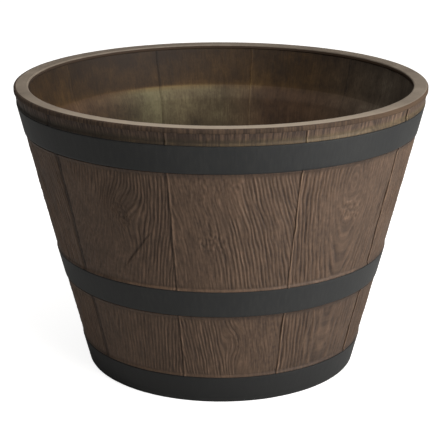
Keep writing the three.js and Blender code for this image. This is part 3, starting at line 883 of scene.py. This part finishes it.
# %% Cast the grain
FRONT_GRAIN = {
    "stave_01": {"Heart across": -110 * MM, "Heart height": 0.320, "Ring lean": 0.75, "Lean reach": 0.15,
                 "Ridge bias": 3.5, "Knot across": 12 * MM, "Knot height": 0.250, "Knot size": 13 * MM,
                 "Pit across": 10 * MM, "Pit height": 0.252, "Pit size": 12 * MM, "Lip height": 0.3 * MM,
                 "Crack across": 26 * MM, "Crack height": 0.207, "Crack lean": 0.80,
                 "Crack length": 30 * MM},
    "stave_02": {"Heart across": 150 * MM, "Heart height": 0.330, "Ring lean": 0.90, "Lean reach": 0.11,
                 "Ring pitch": 3.8 * MM, "Ridge depth": 0.85 * MM, "Ridge bias": 4.8, "Low bias": -1.7,
                 "Low lean": 0.12, "Groove depth": 0.4 * MM, "Lip height": 0.7 * MM,
                 "Knot across": 7 * MM, "Knot height": 0.087, "Knot size": 9 * MM,
                 "Pit across": -24 * MM, "Pit height": 0.222, "Pit size": 24 * MM},
    "stave_03": {"Heart across": 2 * MM, "Heart height": 0.285, "Ring lean": 0.35, "Lean reach": 0.12,
                 "Ridge bias": -2.8, "Knot across": 1 * MM, "Knot height": 0.252, "Knot size": 6 * MM,
                 "Pit across": 4 * MM, "Pit height": 0.246, "Pit size": 25 * MM},
    "stave_10": {"Groove depth": 2.0 * MM, "Groove width": 5.0 * MM},
}


def drawn_grain(number):
    """The figure of a stave, drawn from a seed of its own."""
    dice = np.random.default_rng(40 + number)
    return {
        "Heart across": dice.uniform(-60, 60) * MM, "Heart height": dice.uniform(0.05, 0.33),
        "Ring lean": dice.uniform(0.22, 0.5), "Ring pitch": dice.uniform(3.9, 4.7) * MM,
        "Ridge bias": dice.uniform(-3.5, 3.5),
        "Knot across": dice.uniform(-35, 35) * MM, "Knot height": dice.uniform(0.06, 0.28),
        "Knot size": dice.uniform(7, 12) * MM,
    }


def triangles(piece):
    return sum(len(polygon.vertices) - 2 for polygon in piece.data.polygons)


for number, name in enumerate(STAVE_NAMES):
    values = {**drawn_grain(number), **FRONT_GRAIN.get(name, {}), "Material": STAVE_FINISH}
    piece = staves[name]
    run_tree(piece, grain_tree, values)
    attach(piece, "planter")
    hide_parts(name)
print("triangles on one stave:", triangles(staves["stave_02"]))


# %% [markdown]
# ## Outlines read from turned solids
# The rim cap, the hoops and the plugs are the same all the way round, so each has one outline. We
# read it from the solid as the staves' was: level rays for its sides, upright rays for its top and
# underside. Points that lie on a straight line between their neighbours are dropped again.

# %% Outline readers
def thin(outline, tolerance=0.02 * MM):
    """Drop the points of an outline that a straight line already passes through."""
    kept = [outline[0]]
    for before, here, after in zip(outline, outline[1:], outline[2:]):
        (x0, y0), (x, y), (x1, y1) = kept[-1], here, after
        reach = math.hypot(x1 - x0, y1 - y0)
        away = abs((x1 - x0) * (y0 - y) - (x0 - x) * (y1 - y0)) / max(reach, 1e-9)
        if away > tolerance:
            kept.append(here)
    return kept + [outline[-1]]


def even(outline, step):
    """Add points along an outline so that none of its lines is longer than step."""
    points = []
    for (x0, y0), (x1, y1) in zip(outline, outline[1:] + outline[:1]):
        count = max(1, math.ceil(math.hypot(x1 - x0, y1 - y0) / step))
        points += [(x0 + (x1 - x0) * i / count, y0 + (y1 - y0) * i / count) for i in range(count)]
    return points


def side_outline(name, low, high, start, direction, centre=(0, 0)):
    """(radius, height) where level rays meet the solid between two heights."""
    solid_tree = tree_of(name)
    middle = Vector((*centre, 0))
    outline = []
    for height in np.arange(low + 0.03 * MM, high, SAMPLE_STEP):
        origin = middle + on_turn(start, ray_angle, height)
        hit = solid_tree.ray_cast(origin, on_turn(direction, ray_angle, 0))[0]
        if hit:
            outline.append(((hit - middle).xy.length, float(height)))
    return outline


def ring_piece(name, outline, stations):
    """A closed ring with this outline, turned round the planter's axis."""
    angles = np.arange(stations) * math.tau / stations
    radius, height = (np.array(column) for column in zip(*outline))
    rings = np.stack([
        np.sin(angles)[:, None] * radius,
        -np.cos(angles)[:, None] * radius,
        np.broadcast_to(height, (stations, len(height))),
    ], -1)
    return loft(name, rings, True, {})


print("thinned side of the upper hoop:",
      len(thin(side_outline("upper_hoop", *HOOP_SPANS["upper_hoop"], 1, -1))))


# %% [markdown]
# ## A tree for hand-finished rings
# A ring cast in resin isn't perfect: its face swells and sinks by a fraction of a millimetre, and its
# painted edges stray. One tree moves every point by two noises, one level and one upright.

# %% The ring tree
RING_INPUTS = {"Swell": 0.2 * MM, "Stray": 0.2 * MM, "Coarse": 25.0, "Fine": 120.0, "Seed": 1.0,
               "Material": None}
tree, given = new_geometry_tree("cast_ring", RING_INPUTS)
position = add(tree, "GeometryNodeInputPosition")
shifted = add(tree, "VECTOR_ADD", position, add(tree, COMBINE, given["Seed"]))
drawn_out = add(tree, "VECTOR_MULTIPLY", shifted, (1, 1, 0.12))
swell_noise = add(tree, NOISE, shifted, given["Coarse"], 3.0)
stray_noise = add(tree, NOISE, drawn_out, given["Fine"], 2.0)
swell = add(tree, "MULTIPLY", add(tree, "SUBTRACT", swell_noise, 0.5), given["Swell"])
stray = add(tree, "MULTIPLY", add(tree, "SUBTRACT", stray_noise, 0.5), given["Stray"])
sideways = add(tree, "VECTOR_SCALE", radial_direction(tree), swell)
offset = add(tree, "VECTOR_ADD", sideways, add(tree, COMBINE, 0.0, 0.0, stray))
end_tree(tree, given["Geometry"], offset, given["Material"])
ring_tree = tree
print("ring tree nodes:", len(ring_tree.nodes))


# %% [markdown]
# ## Painted hoops and a rubbed rim
# The real hoops are part of the moulding, painted charcoal to pass for iron: satin, with brush streaks,
# and darker low down, painted shade where less light gets to them, with some dirt. The rim was stained
# like the staves, and its top was then rubbed to a silky tan. Its outer side keeps the stain in upright
# ticks, drawn about 2.6 mm apart, coarser than life. The rubbing stops short of the outer edge. The rim
# also carries painted light: its top paler in front and darker at the back, and its tan and side paler at
# the right than at the left.

# %% Hoop and rim finishes
RIM_LOW, RIM_HIGH = (corner.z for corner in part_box("rim_cap"))
RIM_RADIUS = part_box("rim_cap")[1].x


def hoop_paint():
    """Resin moulded as an iron hoop and painted charcoal: satin, with faint upright streaks."""
    material, tree = new_material("moulded_resin_painted_charcoal_satin")
    place = add(tree, COORDINATES).outputs["Object"]
    streaks = add(tree, NOISE, add(tree, "VECTOR_MULTIPLY", place, (260, 260, 30)), 1.0, 4.0)
    clouds = add(tree, NOISE, place, 14.0, 4.0)
    mixed = add(tree, MIX, 0.5, streaks, clouds)
    colour = add(tree, RAMP, mixed, stops=((0.25, "#17181a"), (0.75, "#2b2b2a"), (0.5, "#202121")))
    height = add(tree, SEPARATE, place).outputs["Z"]
    # painted shade with some dirt: darker towards the bottom
    low_down = add(tree, MAP, height, 0.11, 0.02, 0.0, 0.6)
    darker_low_down = add(tree, MIX_COLOUR, low_down, colour, linear("#0f0f0f"))
    roughness = add(tree, MAP, mixed, 0.0, 1.0, 0.5, 0.68)
    surface(tree, darker_low_down, roughness, 1.37, streaks, 0.5, 0.4 * MM)
    return material


def rubbed_share(tree, clouds, radius, height, inwards, shade_at_rim_left, light_at_rim_right):
    """1 on the rim's rubbed top, 0 on its sides. It reaches further out at the right than the left, as
    painted light at the right and painted shade at the left.
    """
    inner_reach = add(tree, "MULTIPLY_ADD", inwards, 1.6 * MM, height)
    reach = add(tree, "MULTIPLY_ADD", clouds, 0.6 * MM, inner_reach)
    on_top = add(tree, EASE, reach, RIM_HIGH - 0.6 * MM, RIM_HIGH - 0.05 * MM)
    ragged_radius = add(tree, "MULTIPLY_ADD", clouds, 1.2 * MM, radius)
    # painted light and shade: the tan reaches further out at the right and less far at the left
    right_radius = add(tree, "MULTIPLY_ADD", light_at_rim_right, -0.8 * MM, ragged_radius)
    light_and_wear_radius = add(tree, "MULTIPLY_ADD", shade_at_rim_left, 1.0 * MM, right_radius)
    off_edge = add(tree, EASE, light_and_wear_radius, RIM_RADIUS - 1.0 * MM, RIM_RADIUS - 2.2 * MM)
    return add(tree, "MULTIPLY", on_top, off_edge)


def rim_stain():
    """Smooth resin: its top face rubbed to a silky pale tan, its sides left dark with stain. Its top is
    painted paler in front, a painted highlight, and darker at the back, painted shade; its side is
    painted paler at the right, painted light.
    """
    material, tree = new_material("smooth_resin_top_rubbed_tan")
    place = add(tree, COORDINATES).outputs["Object"]
    rightwards, backwards, height = add(tree, SEPARATE, place).outputs
    radius = add(tree, "VECTOR_LENGTH", add(tree, "VECTOR_MULTIPLY", place, (1, 1, 0)))
    inwards = add(tree, MAP, radius, RIM_RADIUS - 5 * MM, RIM_RADIUS - 15 * MM)
    # painted highlight on the front of the top, and painted shade at the back
    front_highlight = add(tree, EASE, backwards, -0.10, -0.25, 0.0, 0.8)
    back_shade = add(tree, EASE, backwards, -0.05, 0.2)
    # painted shade at the left and painted light at the right
    shade_at_rim_left = add(tree, EASE, rightwards, -0.05, -0.2)
    light_at_rim_right = add(tree, EASE, rightwards, 0.12, 0.21)
    clouds = add(tree, NOISE, place, 30.0, 6.0)
    specks = add(tree, NOISE, place, 420.0, 3.0)
    mixed = add(tree, MIX, 0.35, clouds, specks)
    tan = add(tree, RAMP, mixed, stops=((0.25, "#6b5f54"), (0.75, "#948778"), (0.5, "#807466")))
    # painted highlight: paler tan in front
    tan_with_front_highlight = add(tree, MIX_COLOUR, front_highlight, tan, linear("#a59684"))
    # painted shade: darker at the back, more so inwards
    back_shade_amount = add(tree, "MULTIPLY", add(tree, "MULTIPLY_ADD", inwards, 0.2, 0.08), back_shade)
    tan_with_painted_light = add(tree, MIX_COLOUR, back_shade_amount, tan_with_front_highlight, linear("#4c4034"))
    ticks = add(tree, NOISE, add(tree, "VECTOR_MULTIPLY", place, (380, 380, 20)), 1.0, 1.0)
    side_tone = add(tree, MIX, inwards, ticks, 0.5)
    dark_brown = add(tree, RAMP, side_tone, stops=((0.35, "#2f2319"), (0.65, "#4b3a2c")))
    # painted light: the side paler brown at the right
    brown_with_right_light = add(tree, MIX_COLOUR, light_at_rim_right, dark_brown, linear("#4a3828"))
    rubbed = rubbed_share(tree, clouds, radius, height, inwards, shade_at_rim_left, light_at_rim_right)
    colour = add(tree, MIX_COLOUR, rubbed, brown_with_right_light, tan_with_painted_light)
    silky = add(tree, MAP, mixed, 0.0, 1.0, 0.5, 0.68)
    roughness = add(tree, MIX, rubbed, 0.92, silky)
    surface(tree, colour, roughness, 1.42, specks, 0.3, 0.2 * MM)
    return material


HOOP_FINISH = hoop_paint()
RIM_FINISH = rim_stain()
print("rim radius:", round(RIM_RADIUS, 4), "top at:", round(RIM_HIGH, 4))


# %% Hoops
HOOP_STATIONS = 1080
TUCK = 0.16 * MM  # rings are drawn this far inside their solids, so that their swelling stays within


def hoop(name, seed):
    """A hoop turned from its solid's outline, tucked in a little, then swollen and painted."""
    low, high = HOOP_SPANS[name]
    outside = thin(side_outline(name, low, high, 1, -1))
    inside = thin(side_outline(name, low, high, 0, 1))
    tucked = [(r, min(max(z, low + TUCK), high - TUCK)) for r, z in outside + inside[::-1]]
    outline = even(tucked, 2.4 * MM)
    piece = ring_piece(name + "_painted", outline, HOOP_STATIONS)
    run_tree(piece, ring_tree,
             {"Swell": 0.35 * MM, "Stray": 0.5 * MM, "Seed": seed, "Material": HOOP_FINISH})
    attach(piece, "planter")
    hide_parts(name)
    return piece


hoops = [hoop(name, seed) for seed, name in enumerate(HOOP_NAMES, 1)]
print("triangles on the hoops:", [triangles(piece) for piece in hoops])


# %% Rim cap
RIM_STATIONS = 1200


def upright_outline(name, start_height, direction, radii):
    """(radius, height) where upright rays meet the solid at these radii."""
    solid_tree = tree_of(name)
    outline = []
    for radius in radii:
        hit = solid_tree.ray_cast(on_turn(radius, ray_angle, start_height), Vector((0, 0, direction)))[0]
        if hit:
            outline.append((float(radius), hit.z))
    return outline


RIM_REACH = 22 * MM  # a little more than the rim is wide
rim_radii = np.arange(RIM_RADIUS - RIM_REACH, RIM_RADIUS, SAMPLE_STEP / 2)
rim_top = thin(upright_outline("rim_cap", RIM_HIGH + 1, -1, rim_radii))
rim_underside = thin(upright_outline("rim_cap", RIM_LOW - 1, 1, rim_radii))
rim_outline = [(r - TUCK, z) for r, z in rim_underside + rim_top[::-1]]
rim_cap = ring_piece("rim_cap_rubbed", even(rim_outline, 1.6 * MM), RIM_STATIONS)
run_tree(rim_cap, ring_tree,
         {"Swell": 0.3 * MM, "Stray": 0.25 * MM, "Seed": 7, "Fine": 60, "Material": RIM_FINISH})
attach(rim_cap, "planter")
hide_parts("rim_cap")
print("rim outline:", len(rim_top), "+", len(rim_underside), "points")


# %% [markdown]
# ## Floor and drain plugs
# The floor is a flat moulded disc, and its solid already has the right shape, so only its finish is
# added. The plugs are turned: level circles read from each solid, lofted from tip to grip.

# %% Floor finish
def floor_resin():
    """The same foamed resin left as cast: matt, darker, with a light stipple."""
    material, tree = new_material("foamed_resin_as_cast")
    place = add(tree, COORDINATES).outputs["Object"]
    clouds = add(tree, NOISE, place, 18.0, 6.0)
    stipple = add(tree, NOISE, place, 600.0, 2.0)
    mixed = add(tree, MIX, 0.35, clouds, stipple)
    colour = add(tree, RAMP, mixed, stops=((0.3, "#3b3129"), (0.7, "#5b4c3f")))
    surface(tree, colour, 0.75, 1.5, stipple, 0.6, 0.3 * MM)
    return material


if not NODES["floor"].material_slots:
    NODES["floor"].data.materials.append(None)
NODES["floor"].material_slots[0].material = floor_resin()
print("floor finish:", NODES["floor"].material_slots[0].material.name)


# %% Plugs
def plug_rubber():
    """Black moulded rubber: dull, with a dusty bloom."""
    material, tree = new_material("black_rubber_moulded")
    place = add(tree, COORDINATES).outputs["Object"]
    bloom = add(tree, NOISE, place, 180.0, 5.0)
    grit = add(tree, NOISE, place, 1800.0, 2.0)
    colour = add(tree, RAMP, bloom, stops=((0.3, "#1a1a1b"), (0.75, "#343434")))
    surface(tree, colour, 0.7, 1.52, grit, 0.4, 0.1 * MM)
    return material


PLUG_FINISH = plug_rubber()
PLUG_FACETS = 72
angles = np.arange(PLUG_FACETS) * math.tau / PLUG_FACETS
for name, body in PLUG_BODIES.items():
    low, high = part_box(name)
    centre = (low + high).xy / 2
    outline = thin(side_outline(name, low.z, high.z, 0.1, -1, centre), 0.01 * MM)
    rings = [[(centre.x + r * math.sin(a), centre.y - r * math.cos(a), z) for a in angles]
             for r, z in outline]
    plug = loft(name + "_turned", rings, False, {})
    plug.data.materials.append(PLUG_FINISH)
    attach(plug, body)
    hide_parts(name)
print("plugs:", list(PLUG_BODIES))
